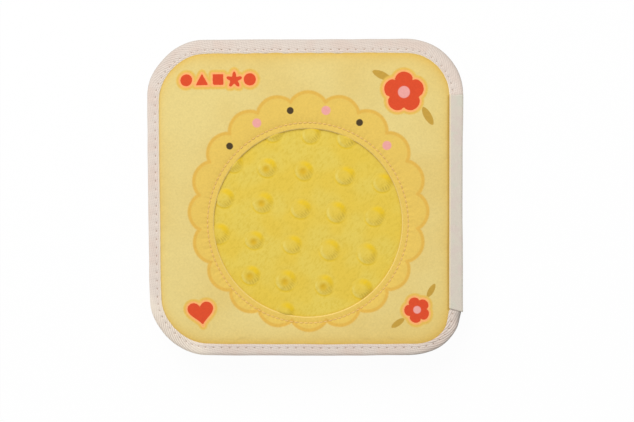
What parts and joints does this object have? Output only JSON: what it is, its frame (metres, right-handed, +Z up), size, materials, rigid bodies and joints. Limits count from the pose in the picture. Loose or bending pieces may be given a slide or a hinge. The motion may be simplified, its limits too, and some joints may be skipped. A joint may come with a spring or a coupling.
{
  "type": "baby activity book",
  "caption": "Closed padded cloth book with round-cornered square leaves in bound edges, windows over textured patches, and a folded spine on which the leaves turn.",
  "frame": {"origin": "middle of the closed book's footprint, on the table", "axes": "+Z up out of the cover that faces up, +Y towards the top of the page, +X towards the spine"},
  "size_m": [0.18, 0.1806, 0.022],
  "materials": {
    "twill_tape": "woven cotton twill tape, matt",
    "spine_cloth": "plain woven cotton strip, matt",
    "foam": "soft open-cell foam",
    "page_1_print": "printed short-napped polyester, matt",
    "page_2_print": "printed short-napped polyester, matt",
    "page_3_print": "printed short-napped polyester, matt",
    "page_4_print": "printed short-napped polyester, matt",
    "page_5_print": "printed short-napped polyester, matt",
    "page_6_print": "printed short-napped polyester, matt",
    "dimple_plush": "brushed polyester plush with raised dots",
    "corduroy": "cotton corduroy, ribbed pile",
    "terry": "cotton terry, looped",
    "satin": "polyester satin, soft sheen",
    "leatherette": "embossed coated cloth, satin",
    "waffle": "cotton waffle weave, matt",
    "window_thread": "polyester sewing thread",
    "edge_thread": "polyester sewing thread"
  },
  "bodies": {
    "bottom_leaf": {"leaf_3_foam_core": "foam", "leaf_3_binding_tape": "twill_tape", "page_5_printed_panel": "page_5_print", "page_5_leatherette_patch": "leatherette", "page_5_window_seam": "window_thread", "page_5_edge_seam": "edge_thread", "page_5_gutter_tape": "spine_cloth", "page_6_printed_panel": "page_6_print", "page_6_waffle_patch": "waffle", "page_6_window_seam": "window_thread", "page_6_edge_seam": "edge_thread", "spine_strip_lower": "spine_cloth"},
    "middle_leaf": {"leaf_2_foam_core": "foam", "leaf_2_binding_tape": "twill_tape", "page_3_printed_panel": "page_3_print", "page_3_terry_patch": "terry", "page_3_window_seam": "window_thread", "page_3_edge_seam": "edge_thread", "page_3_gutter_tape": "spine_cloth", "page_4_printed_panel": "page_4_print", "page_4_satin_patch": "satin", "page_4_window_seam": "window_thread", "page_4_edge_seam": "edge_thread", "page_4_gutter_tape": "spine_cloth"},
    "top_leaf": {"leaf_1_foam_core": "foam", "leaf_1_binding_tape": "twill_tape", "page_1_printed_panel": "page_1_print", "page_1_dimple_plush_patch": "dimple_plush", "page_1_window_seam": "window_thread", "page_1_edge_seam": "edge_thread", "page_2_printed_panel": "page_2_print", "page_2_corduroy_patch": "corduroy", "page_2_window_seam": "window_thread", "page_2_edge_seam": "edge_thread", "page_2_gutter_tape": "spine_cloth", "spine_strip_upper": "spine_cloth"}
  },
  "joints": [
    {"name": "top_leaf_hinge", "type": "hinge", "parent": "middle_leaf", "child": "top_leaf", "pos_m": [0.0906, 0, 0.0108], "axis": [0, 1, 0], "range_deg": [0, 180]},
    {"name": "middle_leaf_hinge", "type": "hinge", "parent": "bottom_leaf", "child": "middle_leaf", "pos_m": [0.0906, 0, 0.0108], "axis": [0, -1, 0], "range_deg": [-180, 0]}
  ]
}
